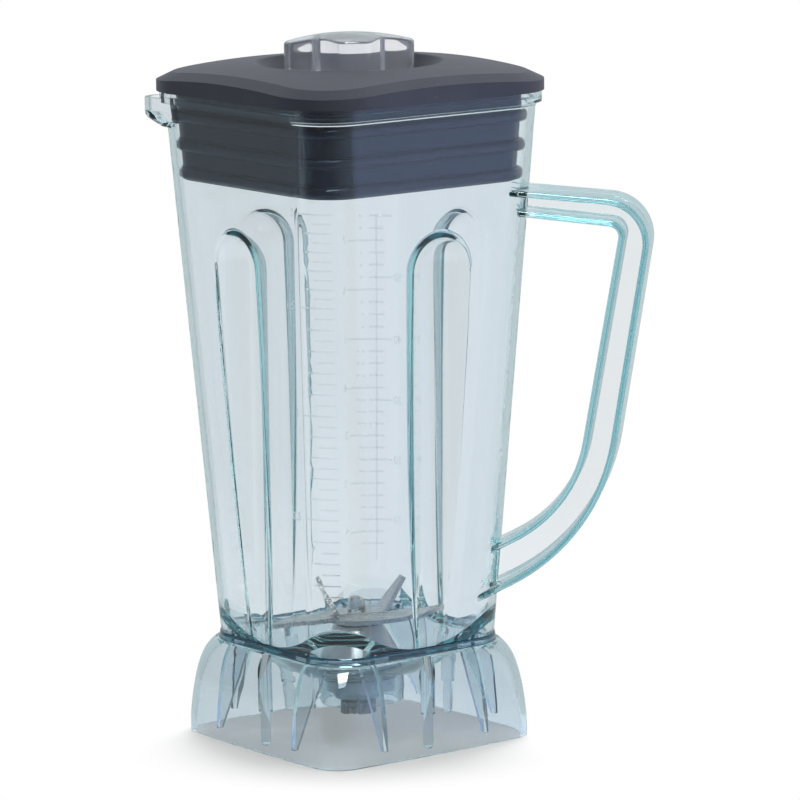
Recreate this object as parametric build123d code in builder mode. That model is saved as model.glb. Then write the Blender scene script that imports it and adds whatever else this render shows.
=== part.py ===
from build123d import *
import os
from math import cos, radians, sin, sqrt, tan

# Square two-litre blender jar with its lid, filler cap and blade assembly, in millimetres.
# The origin is on the blade axis, at the ground under the skirt. +Z is up, the handle points
# along +X and the spout along -X, so the four flat sides face the diagonals.

# Jar wall and mouth
RIM_Z = 290.0  # top of the rim, where the lid rests
SHOULDER_Z = 44.0  # top of the skirt, where the wall starts
MOUTH_HALF = 64.5  # half the outer width at the rim, without the rim band
FOOT_HALF = 49.4  # half the outer width at the skirt's shoulder
CORNER = 20.5  # outer radius of the jar's corners
WALL = 3.0
RIM_BAND = 5.2  # height of the thick band round the mouth
RIM_STEP = 2.2  # how far the band stands out from the wall
REBATE_DEPTH = 2.8  # depth of the wider mouth inside the rim

# Flutes pressed into the four sides
FLUTE_RADIUS = 15.0
FLUTE_REACH = 48.0  # distance of a flute's deepest line from the axis
FLUTE_TOP_Z = 230.0
FLUTE_ROUND = 1.6  # rounding of a flute's edges
FLUTES = ((45, -3.5), (135, 6.0), (225, -6.0), (315, 3.5))  # direction of the side, shift along it

# Spout on the -X corner
SPOUT_REACH = 91.6
SPOUT_NOSE = 9.0  # radius of the spout's tip, seen from above
SPOUT_ROOT = 16.0  # radius of the spout where it leaves the corner
SPOUT_DIP = 3.4  # depth of the lip's edge below the rim
SPOUT_LIP = 8.4  # height of the upright lip
SPOUT_DROP = 4.5  # height of the slope under the lip
SPOUT_SLOPE = 58.0  # of the slope from upright, in degrees
SPOUT_ROUND = 4.0  # rounding between the lip and the slope
SPOUT_WALL = 2.5

# Bowl floor with a flat seat for the bearing housing
BOWL_Z = 30.0  # lowest point of the bowl's sphere
BOWL_RADIUS = 75.0
BOWL_SPAN = 60.0  # half angle of the sphere, past which the floor goes on as a cone
FLOOR = 4.0
SEAT_RADIUS = 20.0
SEAT_FLOOR = 5.0
COLLAR_RADIUS = 19.6  # ring under the floor that guards the nut
COLLAR_WALL = 2.6
COLLAR_Z = 15.8

# Skirt
SKIRT_HALF = 56.9  # half the outer width at the ground
SKIRT_BOW = 2.1  # bulge of each side at the ground
SKIRT_CORNER = 13.1
SKIRT_WALL = 2.6
SKIRT_STEPS = (0, 20, 40, 60, 80)  # places on the flare's quarter ellipse, in degrees

# Fins and posts inside the skirt
FIN = 2.4  # thickness
FIN_SPACING = 56.0  # between the two fins of one side
FIN_FOOT_Z = 5.0
FIN_FOOT_HALF = 54.0  # distance of the inner edge from the axis at the foot
FIN_SLOPE = 24.0  # lean of the inner edge
POST_CIRCLE = 50.0
POST_RADIUS = 3.2
POST_PIN_RADIUS = 2.2
POST_STEP_Z = 17.0
POST_FOOT_Z = 1.0

# Handle, an I-section in the XZ plane
GRIP_WIDTH = 31.0  # of the outer flange
PALM_WIDTH = 22.0  # of the inner flange
GRIP_FLANGE = 2.8
GRIP_ROUND = 1.1  # rounding of the flanges' edges
GRIP_WEB = 3.2
GRIP_TOP_Z = 249.0  # outer flange at the wall
GRIP_FOOT_Z = 60.5
GRIP_BEND = (136.3, 242.0)  # corners of the outer flange's line, as X and Z
GRIP_HEEL = (111.1, 91.0)
GRIP_RADII = (20.0, 90.0)
PALM_TOP_Z = 237.5  # inner flange at the wall
PALM_FOOT_Z = 82.0
PALM_BEND = (120.0, 230.3)
PALM_HEEL = (97.7, 105.3)
PALM_RADII = (4.5, 60.0)

# Lid
LID_HALF = 69.8
LID_CORNER = 30.7
LID_CROWN = 14.1  # height of the dome's apex above the rim
LID_DOME = 520.0  # radius of the dome
LID_BEVEL = 7.0  # width of the sloped edge
LID_EDGE = 2.2  # height of the sloped edge
LID_WALL = 5.0
LID_POCKET = 6.0  # height of the pockets in the corners under the plate
PLUG_DEPTH = 39.5
PLUG_INSET = 3.4  # gap between the plug and the jar's wall
RIB_DEPTHS = (10.8, 23.8, 36.4)  # middles of the sealing ribs below the rim
RIB_HEIGHT = 5.0
RIB_ROUND = 2.2
RIB_GAP = 0.3
WELL_RADIUS = 41.5  # at its rim
WELL_FLOOR_RADIUS = 31.0
WELL_FLOOR = 3.0  # height of the well's floor above the rim
WELL_LIP = 1.6  # rounding of the well's rim
CAP_HOLE = 25.5

# Filler cap
CAP_RADIUS = 29.2
CAP_DISC = 11.0  # height of the round part that sits in the well
CAP_HEIGHT = 22.0  # to the apex of its dome
CAP_DOME = 105.0
CAP_LOBE = 16.0  # width of the two long lobes
CAP_SHORT = 17.5  # reach of the two short lobes
CAP_TIP = 9.0  # width of a short lobe's end
CAP_BASE = 38.4  # width of the short lobes on the axis
CAP_TIP_ROUND = 1.8
CAP_FILLET = 9.0  # hollow between two lobes
CAP_LEDGE = 0.4  # round seat beyond the long lobes' ends
CAP_WALL = 2.8
CAP_PLUG = 12.0
CAP_GAP = 0.3
CAP_TURN = 11.5

# Bearings and running clearances
FIT = 0.01  # between pieces pushed together
RUNNING_GAP = 0.1  # between the seal and the spindle
SHAFT_RADIUS = 4.0
BEARING_RADIUS = 8.0
BEARING_WIDTH = 5.0
RING = 1.2  # thickness of a bearing ring
BALL_RADIUS = 1.2
BALL_COUNT = 9
BALL_TURN = 20.0  # of the first ball from +X
BALL_GAP = 0.05
CAGE = 1.0  # thickness of the cage
CAGE_HEIGHT = 3.2
POCKET_GAP = 0.1

# Bearing housing and what holds it to the floor
GASKET = 1.2
HOUSING_RISE = 16.0  # height above the gasket
HOUSING_BASE = 18.5
HOUSING_BASE_RIM = 2.0
HOUSING_TOP_RADIUS = 10.5
SHANK_RADIUS = 11.0
SHANK_GAP = 0.2  # between the shank and what it passes through
SHANK_END = 2.6  # length below the nut
SEAL_HEIGHT = 4.0
SEAL_RECESS = 1.0
LAND = 0.8  # step that the outer rings rest on
CIRCLIP = 1.0
CIRCLIP_RADIUS = 8.7
CIRCLIP_BAND = 1.7
CIRCLIP_OPENING = 50.0  # in degrees
CLIP_TAIL = 1.2  # housing below the circlip
RETAINING_WASHER = 1.2
RETAINING_WASHER_RADIUS = 15.6
NUT_ACROSS = 27.0
NUT_HEIGHT = 6.0

# Spindle, blades and drive
COLLAR_STEP = 0.6  # spindle collar over the inner ring
SLINGER_GAP = 0.5  # above the housing
SLINGER = 1.2
SLINGER_RADIUS = 9.5
BLADE = 2.0
BLADE_SEAT_RADIUS = 3.0
BLADE_SEAT_FLATS = 5.0
LOWER_REACH = 42.0
LOWER_HUB = 14.0
LOWER_ROOT = 15.0
LOWER_TIP = 3.0
LOWER_TURN = 34.0
TOOTH_RADIUS = 1.1
TOOTH_COUNT = 8
UPPER_BEND = 10.5  # distance of the bend from the axis
UPPER_BEND_RADIUS = 3.0
UPPER_WING = 18.5
UPPER_WIDTH = 13.0
UPPER_TIP = 3.0
UPPER_TILT = 61.0
UPPER_TURN = 23.0
STUD_RADIUS = 2.5
STUD_END = 0.8
BLADE_WASHER = 1.0
BLADE_WASHER_RADIUS = 4.8
BLADE_NUT = 4.4
BLADE_NUT_ACROSS = 8.0
COUPLING_RADIUS = 8.1
COUPLING_HEIGHT = 6.0
COUPLING_NECK = 5.0
COUPLING_Z = 9.8
SPLINE_COUNT = 20
SPLINE_RADIUS = 0.75
SPIGOT_RADIUS = 3.0

# Heights and places that follow from the sizes above
RIM_LOW_Z = RIM_Z - RIM_BAND
REBATE_Z = RIM_Z - REBATE_DEPTH
SPOUT_TOP_Z = RIM_Z - SPOUT_DIP
SPOUT_LOW_Z = SPOUT_TOP_Z - SPOUT_LIP
SPOUT_RUN = SPOUT_DROP * tan(radians(SPOUT_SLOPE))
FLUTE_AXIS = FLUTE_REACH + FLUTE_RADIUS
FLUTE_SPRING_Z = FLUTE_TOP_Z - FLUTE_RADIUS
BOWL_CENTRE_Z = BOWL_Z + BOWL_RADIUS
SEAT_Z = BOWL_CENTRE_Z - sqrt(BOWL_RADIUS**2 - SEAT_RADIUS**2)
UNDERSEAT_Z = SEAT_Z - SEAT_FLOOR
FLANGE_Z = SEAT_Z + GASKET
HOUSING_Z = FLANGE_Z + HOUSING_RISE
WASHER_Z = UNDERSEAT_Z - RETAINING_WASHER
NUT_Z = WASHER_Z - NUT_HEIGHT
SHANK_Z = NUT_Z - SHANK_END
SEAL_Z = HOUSING_Z - SEAL_RECESS - SEAL_HEIGHT
UPPER_BEARING_Z = SEAL_Z - BEARING_WIDTH
CIRCLIP_Z = SHANK_Z + CLIP_TAIL
LOWER_BEARING_Z = CIRCLIP_Z + CIRCLIP
LOWER_BEARING_TOP_Z = LOWER_BEARING_Z + BEARING_WIDTH
PITCH_RADIUS = (SHAFT_RADIUS + BEARING_RADIUS) / 2
SLINGER_Z = HOUSING_Z + SLINGER_GAP
LOWER_BLADE_Z = SLINGER_Z + SLINGER
UPPER_BLADE_Z = LOWER_BLADE_Z + BLADE
BLADE_WASHER_Z = UPPER_BLADE_Z + BLADE
BLADE_NUT_Z = BLADE_WASHER_Z + BLADE_WASHER
STUD_Z = BLADE_NUT_Z + BLADE_NUT + STUD_END
COUPLING_TOP_Z = COUPLING_Z + COUPLING_HEIGHT
WELL_Z = RIM_Z + WELL_FLOOR
PLUG_Z = RIM_Z - PLUG_DEPTH
CAP_DISC_Z = WELL_Z + CAP_DISC
CAP_TOP_Z = WELL_Z + CAP_HEIGHT
CAP_LOW_Z = WELL_Z - CAP_PLUG
WELL_RIM_Z = RIM_Z + LID_CROWN - LID_DOME + sqrt(LID_DOME**2 - WELL_RADIUS**2)

STANDING = (Align.CENTER, Align.CENTER, Align.MIN)


def wall_half(z):
    """Half the jar's outer width at height z."""
    return FOOT_HALF + (MOUTH_HALF - FOOT_HALF) * (z - SHOULDER_Z) / (RIM_Z - SHOULDER_Z)


def rounded_square(half, corner, z):
    """Face of a square with rounded corners, one corner along X."""
    with BuildSketch(Plane.XY.offset(z)) as outline:
        RectangleRounded(2 * half, 2 * half, corner, rotation=45)
    return outline.sketch


def wall_section(z, inset):
    """Section of the jar at height z, set in from its outer wall."""
    return rounded_square(wall_half(z) - inset, CORNER - inset, z)


def skirt_section(degrees, inset):
    """Section of the skirt at one place on its flare, set in from its outer face."""
    flare = cos(radians(degrees))
    half = FOOT_HALF + (SKIRT_HALF - FOOT_HALF) * flare - inset
    corner = CORNER + (SKIRT_CORNER - CORNER) * flare - inset
    tip = half * sqrt(2)
    bulge = (half + SKIRT_BOW * flare) / sqrt(2)
    with BuildSketch(Plane.XY.offset((SHOULDER_Z - inset) * sin(radians(degrees)))) as outline:
        with BuildLine():
            ThreePointArc((tip, 0), (bulge, bulge), (0, tip))
            ThreePointArc((0, tip), (-bulge, bulge), (-tip, 0))
            ThreePointArc((-tip, 0), (-bulge, -bulge), (0, -tip))
            ThreePointArc((0, -tip), (bulge, -bulge), (tip, 0))
        make_face()
        fillet(outline.vertices(), corner)
    return outline.sketch


def spout_section(reach, nose, root, z):
    """Drop-shaped section of the spout, from the jar's corner to its tip."""
    with BuildSketch(Plane.XY.offset(z)) as outline:
        with Locations((nose - reach, 0)):
            Circle(nose)
        with Locations((root - (wall_half(RIM_Z) - CORNER) * sqrt(2) - CORNER, 0)):
            Circle(root)
        make_hull()
    return outline.sketch


def flute(radius, foot_z, side, shift):
    """Upright rod with a round top, standing in one side of the jar from height foot_z."""
    with BuildPart() as rod:
        with PolarLocations(FLUTE_AXIS, 1, start_angle=side):
            with Locations((0, shift, foot_z)):
                Cylinder(radius, FLUTE_SPRING_Z - foot_z, align=STANDING)
            with Locations((0, shift, FLUTE_SPRING_Z)):
                Sphere(radius)
    return rod.part


def flute_edges(walls):
    """Edges where the flutes leave the flat sides."""
    rounds = walls.faces().filter_by(GeomType.CYLINDER) + walls.faces().filter_by(GeomType.SPHERE)
    return [edge for face in rounds for edge in face.edges() if edge.bounding_box().size.Z > FLUTE_ROUND]


def bowl_floor(radius, seat_z, edge_z):
    """Half section of the floor: flat seat, sphere and steep edge, filled up to edge_z."""
    seat = sqrt(radius**2 - (BOWL_CENTRE_Z - seat_z) ** 2)
    brim = radius * sin(radians(BOWL_SPAN))
    brim_z = BOWL_CENTRE_Z - radius * cos(radians(BOWL_SPAN))
    reach = brim + MOUTH_HALF
    reach_z = brim_z + MOUTH_HALF * tan(radians(BOWL_SPAN))
    with BuildSketch(Plane.XZ) as outline:
        with BuildLine():
            Line((0, seat_z), (seat, seat_z))
            RadiusArc((seat, seat_z), (brim, brim_z), -radius)
            Polyline((brim, brim_z), (reach, reach_z), (reach, edge_z), (0, edge_z), (0, seat_z))
        make_face()
    return outline.sketch


def grip_face(top_z, bend, heel, foot_z, radii):
    """Side view of what one flange of the handle encloses, back to inside the jar."""
    root = sqrt(2) * FOOT_HALF - GRIP_WIDTH / 2 - WALL
    with BuildSketch(Plane.XZ) as outline:
        with BuildLine():
            FilletPolyline((root, top_z), bend, heel, (root, foot_z), radius=radii)
            Line((root, top_z), (root, foot_z))
        make_face()
    return outline.sketch


def flange(band, width):
    """One flange of the handle, with rounded edges."""
    with BuildPart() as strip:
        extrude(band, amount=width / 2, both=True)
        rims = strip.faces().filter_by(Axis.Y).edges()
        fillet([edge for edge in rims if edge.bounding_box().max.X > MOUTH_HALF], GRIP_ROUND)
    return strip.part


def turned(plane, degrees):
    """The plane, turned about the blade axis."""
    return Plane(Location((0, 0, 0), (0, 0, degrees)) * plane.location)


def ring(inner, outer, z, height):
    """Plain ring about the blade axis, standing on height z."""
    with BuildPart() as turned_ring:
        with BuildSketch(Plane.XY.offset(z)):
            Circle(outer)
            Circle(inner, mode=Mode.SUBTRACT)
        extrude(amount=height)
    return turned_ring.part


def bearing_ring(inner, outer, z):
    """Ring of a ball bearing standing on height z, with the balls' groove turned in it."""
    middle_z = z + BEARING_WIDTH / 2
    with BuildPart() as race:
        with BuildSketch(Plane.XZ):
            with Locations(((inner + outer) / 2, middle_z)):
                Rectangle(outer - inner, BEARING_WIDTH)
            with Locations((PITCH_RADIUS, middle_z)):
                Circle(BALL_RADIUS + BALL_GAP, mode=Mode.SUBTRACT)
        revolve(axis=Axis.Z)
    return race.part


def bearing_balls(z):
    """The balls of a bearing that stands on height z."""
    with BuildPart() as balls:
        with Locations((0, 0, z + BEARING_WIDTH / 2)):
            with PolarLocations(PITCH_RADIUS, BALL_COUNT, start_angle=BALL_TURN):
                Sphere(BALL_RADIUS)
    return balls.part


def bearing_cage(z):
    """Ring that spaces the balls, with a round pocket through it for each."""
    low_z = z + (BEARING_WIDTH - CAGE_HEIGHT) / 2
    with BuildPart() as cage:
        add(ring(PITCH_RADIUS - CAGE / 2, PITCH_RADIUS + CAGE / 2, low_z, CAGE_HEIGHT))
        with Locations((0, 0, z + BEARING_WIDTH / 2)):
            with PolarLocations(PITCH_RADIUS, BALL_COUNT, start_angle=BALL_TURN):
                Cylinder(
                    BALL_RADIUS + POCKET_GAP, 2 * CAGE, rotation=(0, 90, 0), mode=Mode.SUBTRACT
                )
    return cage.part


def seal_rib(z):
    """One rounded rib of the lid's plug, just clear of the jar's wall."""
    with BuildPart() as rib:
        extrude(wall_section(z, WALL + RIB_GAP), amount=RIB_HEIGHT / 2, both=True)
        fillet(rib.faces().filter_by(Axis.Z).edges(), RIB_ROUND)
    return rib.part


def cap_lobes(inset, z):
    """Outline of the filler cap's grip, two long lobes and two short ones, set in by a wall."""
    with BuildSketch(Plane.XY.offset(z).rotated((0, 0, CAP_TURN))) as outline:
        SlotOverall(2 * (CAP_RADIUS - CAP_LEDGE), CAP_LOBE)
        Polygon(
            (CAP_BASE / 2, 0),
            (CAP_TIP / 2, CAP_SHORT),
            (-CAP_TIP / 2, CAP_SHORT),
            (-CAP_BASE / 2, 0),
            (-CAP_TIP / 2, -CAP_SHORT),
            (CAP_TIP / 2, -CAP_SHORT),
            align=None,
        )
        fillet(outline.vertices().sort_by(SortBy.DISTANCE)[4:8], CAP_TIP_ROUND)
        fillet(outline.vertices().sort_by(SortBy.DISTANCE)[:4], CAP_FILLET)
        if inset:
            offset(amount=-inset, mode=Mode.REPLACE)
    return outline.sketch


def blade_seat(gap, z):
    """Round outline with two flats that turns the blades, widened by a gap."""
    with BuildSketch(turned(Plane.XY.offset(z), UPPER_TURN)) as outline:
        Circle(BLADE_SEAT_RADIUS + gap)
        Rectangle(2 * (BLADE_SEAT_RADIUS + gap), BLADE_SEAT_FLATS + 2 * gap, mode=Mode.INTERSECT)
    return outline.sketch


# Handle: an outer and a narrower inner flange with rounded edges, joined by the web
with BuildPart() as handle:
    grip = grip_face(GRIP_TOP_Z, GRIP_BEND, GRIP_HEEL, GRIP_FOOT_Z, GRIP_RADII)
    palm = grip_face(PALM_TOP_Z, PALM_BEND, PALM_HEEL, PALM_FOOT_Z, PALM_RADII)
    extrude(grip - palm, amount=GRIP_WEB / 2, both=True)
    add(flange(grip - offset(grip, -GRIP_FLANGE, mode=Mode.PRIVATE), GRIP_WIDTH))
    add(flange(offset(palm, GRIP_FLANGE, mode=Mode.PRIVATE) - palm, PALM_WIDTH))

# Outside of the jar: tapered wall, bell skirt and rim band, with the flutes pressed in
with BuildPart() as outside:
    loft([wall_section(SHOULDER_Z - SKIRT_WALL, 0), wall_section(RIM_Z, 0)])
    with BuildSketch(Plane.XY.offset(RIM_LOW_Z)):
        add(rounded_square(wall_half(RIM_Z) + RIM_STEP, CORNER + RIM_STEP, 0))
    extrude(amount=RIM_BAND)
    for side, shift in FLUTES:
        add(flute(FLUTE_RADIUS, SHOULDER_Z - SKIRT_WALL, side, shift), mode=Mode.SUBTRACT)
    fillet(flute_edges(outside), FLUTE_ROUND)
    loft([skirt_section(step, 0) for step in SKIRT_STEPS])
    extrude(spout_section(SPOUT_REACH, SPOUT_NOSE, SPOUT_ROOT, SPOUT_LOW_Z), amount=SPOUT_LIP)
    loft(
        [
            spout_section(SPOUT_REACH, SPOUT_NOSE, SPOUT_ROOT, SPOUT_LOW_Z),
            spout_section(SPOUT_REACH - SPOUT_RUN, SPOUT_NOSE, SPOUT_ROOT, SPOUT_LOW_Z - SPOUT_DROP),
        ]
    )
    fillet(outside.edges().filter_by_position(Axis.Z, SPOUT_LOW_Z - 0.01, SPOUT_LOW_Z + 0.01), SPOUT_ROUND)
    add(handle.part)

# Space that the jar holds: inside of the wall, over the bowl, with the flutes standing in it
with BuildPart() as vessel:
    loft([wall_section(BOWL_Z, WALL), wall_section(RIM_Z, WALL)])
    for side, shift in FLUTES:
        add(flute(FLUTE_RADIUS + WALL, BOWL_Z, side, shift), mode=Mode.SUBTRACT)
    fillet(flute_edges(vessel), FLUTE_ROUND)
    revolve(bowl_floor(BOWL_RADIUS, SEAT_Z, 0), axis=Axis.Z, mode=Mode.SUBTRACT)
    extrude(wall_section(RIM_Z, WALL - RIM_STEP), amount=-REBATE_DEPTH)
    channel_z = SPOUT_LOW_Z + SPOUT_WALL
    channel = (SPOUT_REACH - SPOUT_WALL, SPOUT_NOSE - SPOUT_WALL, SPOUT_ROOT - SPOUT_WALL)
    extrude(spout_section(*channel, channel_z), amount=RIM_Z - channel_z)
    loft(
        [
            spout_section(*channel, channel_z),
            spout_section(channel[0] - SPOUT_RUN, channel[1], channel[2], channel_z - SPOUT_DROP),
        ]
    )

# Space under the floor, with the fins, the posts and the nut's collar left standing
with BuildPart() as underside:
    loft([skirt_section(step, SKIRT_WALL) for step in SKIRT_STEPS])
    inner_top_z = (SHOULDER_Z - SKIRT_WALL) * sin(radians(SKIRT_STEPS[-1]))
    loft([wall_section(inner_top_z - SKIRT_WALL, WALL), wall_section(BOWL_CENTRE_Z, WALL)])
    revolve(
        bowl_floor(BOWL_RADIUS + FLOOR, UNDERSEAT_Z, RIM_Z), axis=Axis.Z, mode=Mode.SUBTRACT
    )
    fin_rise = BOWL_CENTRE_Z - FIN_FOOT_Z
    fin_points = [
        (FIN_FOOT_HALF, FIN_FOOT_Z),
        (SKIRT_HALF + CORNER, FIN_FOOT_Z),
        (SKIRT_HALF + CORNER, BOWL_CENTRE_Z),
        (FIN_FOOT_HALF - fin_rise * tan(radians(FIN_SLOPE)), BOWL_CENTRE_Z),
    ]
    for side in (45, 135, 225, 315):
        for place in (-FIN_SPACING / 2, FIN_SPACING / 2):
            with BuildSketch(turned(Plane.XZ.offset(place), side)):
                Polygon(*fin_points, align=None)
            extrude(amount=FIN / 2, both=True, mode=Mode.SUBTRACT)
    with PolarLocations(POST_CIRCLE, 4, start_angle=45):
        with Locations((0, 0, POST_STEP_Z)):
            Cylinder(POST_RADIUS, BOWL_CENTRE_Z - POST_STEP_Z, align=STANDING, mode=Mode.SUBTRACT)
        with Locations((0, 0, POST_FOOT_Z + POST_PIN_RADIUS)):
            Sphere(POST_PIN_RADIUS, mode=Mode.SUBTRACT)
            Cylinder(POST_PIN_RADIUS, POST_STEP_Z - POST_FOOT_Z, align=STANDING, mode=Mode.SUBTRACT)
    add(ring(COLLAR_RADIUS - COLLAR_WALL, COLLAR_RADIUS, COLLAR_Z, SEAT_Z - COLLAR_Z), mode=Mode.SUBTRACT)

# The jar as moulded
with BuildPart() as jar_body:
    add(outside.part)
    add(vessel.part, mode=Mode.SUBTRACT)
    add(underside.part, mode=Mode.SUBTRACT)
    with Locations((0, 0, SEAT_Z)):
        Hole(SHANK_RADIUS + SHANK_GAP)

# Lid: domed plate with a bevelled edge, hollow plug with three sealing ribs, round well
with BuildPart() as lid:
    with BuildSketch(Plane.XY.offset(RIM_Z)):
        RectangleRounded(2 * LID_HALF, 2 * LID_HALF, LID_CORNER, rotation=45)
    extrude(amount=LID_CROWN)
    with Locations((0, 0, RIM_Z + LID_CROWN - LID_DOME)):
        Sphere(LID_DOME, mode=Mode.INTERSECT)
    dome = lid.faces().filter_by(GeomType.SPHERE)[0]
    chamfer(dome.edges(), LID_BEVEL, LID_EDGE, reference=dome)
    loft([wall_section(PLUG_Z, WALL + PLUG_INSET), wall_section(RIM_Z, WALL + PLUG_INSET)])
    for depth in RIB_DEPTHS:
        add(seal_rib(RIM_Z - depth))
    pocket_inset = WALL + PLUG_INSET + LID_WALL
    pocket_z = WELL_Z - LID_WALL
    loft([wall_section(PLUG_Z, pocket_inset), wall_section(pocket_z, pocket_inset)], mode=Mode.SUBTRACT)
    with BuildSketch(Plane.XY.offset(pocket_z)):
        add(wall_section(pocket_z, pocket_inset))
        Circle(WELL_RADIUS + LID_WALL, mode=Mode.SUBTRACT)
    extrude(amount=LID_POCKET, mode=Mode.SUBTRACT)
    with BuildSketch(Plane.XZ):
        Polygon(
            (0, PLUG_Z),
            (CAP_HOLE, PLUG_Z),
            (CAP_HOLE, WELL_Z),
            (WELL_FLOOR_RADIUS, WELL_Z),
            (WELL_RADIUS, WELL_RIM_Z),
            (WELL_RADIUS, RIM_Z + 2 * LID_CROWN),
            (0, RIM_Z + 2 * LID_CROWN),
            align=None,
        )
    revolve(axis=Axis.Z, mode=Mode.SUBTRACT)
    fillet(lid.edges().filter_by(GeomType.CIRCLE).sort_by(Axis.Z)[-1], WELL_LIP)

# Space inside the filler cap, open below
with BuildPart() as cap_hollow:
    with BuildSketch(Plane.XY.offset(CAP_LOW_Z)):
        Circle(CAP_HOLE - CAP_GAP - CAP_WALL)
    extrude(amount=CAP_PLUG + CAP_DISC - CAP_WALL)
    with BuildSketch(Plane.XY.offset(WELL_Z + CAP_WALL)):
        Circle(CAP_RADIUS - CAP_WALL)
    extrude(amount=CAP_DISC - 2 * CAP_WALL)
    ceiling_z = CAP_TOP_Z - CAP_DOME + sqrt(CAP_DOME**2 - CAP_RADIUS**2) - CAP_WALL
    seat_z = CAP_DISC_Z - 2 * CAP_WALL
    extrude(cap_lobes(CAP_WALL, seat_z), amount=ceiling_z - seat_z)

# Filler cap: plug, round seat and lobed grip under a shallow dome
with BuildPart() as filler_cap:
    with BuildSketch(Plane.XY.offset(CAP_LOW_Z)):
        Circle(CAP_HOLE - CAP_GAP)
    extrude(amount=CAP_PLUG)
    with BuildSketch(Plane.XY.offset(WELL_Z)):
        Circle(CAP_RADIUS)
    extrude(amount=CAP_DISC)
    extrude(cap_lobes(0, CAP_DISC_Z), amount=CAP_HEIGHT)
    with Locations((0, 0, CAP_TOP_Z - CAP_DOME)):
        Sphere(CAP_DOME, mode=Mode.INTERSECT)
    add(cap_hollow.part, mode=Mode.SUBTRACT)

# Bearing housing: cone on the floor, threaded shank through it, a bearing seat from each end
with BuildPart() as bearing_housing:
    with BuildSketch(Plane.XZ):
        Polygon(
            (SHANK_RADIUS, SHANK_Z),
            (SHANK_RADIUS, FLANGE_Z),
            (HOUSING_BASE, FLANGE_Z),
            (HOUSING_BASE, FLANGE_Z + HOUSING_BASE_RIM),
            (HOUSING_TOP_RADIUS, HOUSING_Z),
            (BEARING_RADIUS + FIT, HOUSING_Z),
            (BEARING_RADIUS + FIT, UPPER_BEARING_Z),
            (BEARING_RADIUS - LAND, UPPER_BEARING_Z),
            (BEARING_RADIUS - LAND, LOWER_BEARING_TOP_Z),
            (BEARING_RADIUS + FIT, LOWER_BEARING_TOP_Z),
            (BEARING_RADIUS + FIT, LOWER_BEARING_Z),
            (CIRCLIP_RADIUS + FIT, LOWER_BEARING_Z),
            (CIRCLIP_RADIUS + FIT, CIRCLIP_Z),
            (BEARING_RADIUS + FIT, CIRCLIP_Z),
            (BEARING_RADIUS + FIT, SHANK_Z),
            align=None,
        )
    revolve(axis=Axis.Z)

# Lip seal over the upper bearing, clear of the turning inner ring
with BuildPart() as shaft_seal:
    seal_lip = SHAFT_RADIUS + COLLAR_STEP + RUNNING_GAP
    with BuildSketch(Plane.XZ):
        Polygon(
            (BEARING_RADIUS - RING, SEAL_Z),
            (BEARING_RADIUS, SEAL_Z),
            (BEARING_RADIUS, SEAL_Z + SEAL_HEIGHT),
            (seal_lip, SEAL_Z + SEAL_HEIGHT),
            (seal_lip, SEAL_Z + SEAL_HEIGHT / 2),
            (BEARING_RADIUS - RING, SEAL_Z + SEAL_HEIGHT / 2),
            align=None,
        )
    revolve(axis=Axis.Z)

# Circlip in its groove under the lower bearing, with its opening along +X
with BuildPart() as circlip:
    with BuildSketch(Plane.XY.offset(CIRCLIP_Z)):
        Circle(CIRCLIP_RADIUS)
        Circle(CIRCLIP_RADIUS - CIRCLIP_BAND, mode=Mode.SUBTRACT)
        opening = CIRCLIP_RADIUS * tan(radians(CIRCLIP_OPENING / 2))
        Polygon(
            (0, 0), (CIRCLIP_RADIUS, -opening), (CIRCLIP_RADIUS, opening), align=None, mode=Mode.SUBTRACT
        )
    extrude(amount=CIRCLIP)

# Hexagon nut under the floor
with BuildPart() as retaining_nut:
    with BuildSketch(Plane.XY.offset(NUT_Z)):
        RegularPolygon(NUT_ACROSS / 2, 6, major_radius=False)
        Circle(SHANK_RADIUS + FIT, mode=Mode.SUBTRACT)
    extrude(amount=NUT_HEIGHT)

# Spindle: spigot for the coupling, bearing shaft, collar, flatted blade seat and stud
with BuildPart() as spindle:
    for radius, low_z, high_z in (
        (SPIGOT_RADIUS, COUPLING_Z, LOWER_BEARING_Z),
        (SHAFT_RADIUS - FIT, LOWER_BEARING_Z, SEAL_Z),
        (SHAFT_RADIUS + COLLAR_STEP, SEAL_Z, SLINGER_Z),
        (STUD_RADIUS, BLADE_WASHER_Z, STUD_Z),
    ):
        with BuildSketch(Plane.XY.offset(low_z)):
            Circle(radius)
        extrude(amount=high_z - low_z)
    extrude(blade_seat(0, SLINGER_Z), amount=BLADE_WASHER_Z - SLINGER_Z)

# Flat blade with two wings, saw teeth along their leading edges
with BuildPart() as lower_blade:
    with BuildSketch(Plane.XY.offset(LOWER_BLADE_Z)):
        Circle(LOWER_HUB)
        with PolarLocations(0, 2, start_angle=LOWER_TURN):
            Polygon(
                (0, LOWER_TIP / 2),
                (0, -LOWER_ROOT),
                (LOWER_HUB, -LOWER_ROOT),
                (LOWER_REACH, -LOWER_TIP / 2),
                (LOWER_REACH, LOWER_TIP / 2),
                align=None,
            )
            tooth_run = (LOWER_REACH - LOWER_HUB) / TOOTH_COUNT
            teeth = [(LOWER_HUB + tooth_run * (i + 0.5), LOWER_TIP / 2) for i in range(TOOTH_COUNT)]
            with Locations(*teeth):
                Circle(TOOTH_RADIUS, mode=Mode.SUBTRACT)
    extrude(amount=BLADE)
    extrude(blade_seat(FIT, LOWER_BLADE_Z), amount=BLADE, mode=Mode.SUBTRACT)

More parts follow.
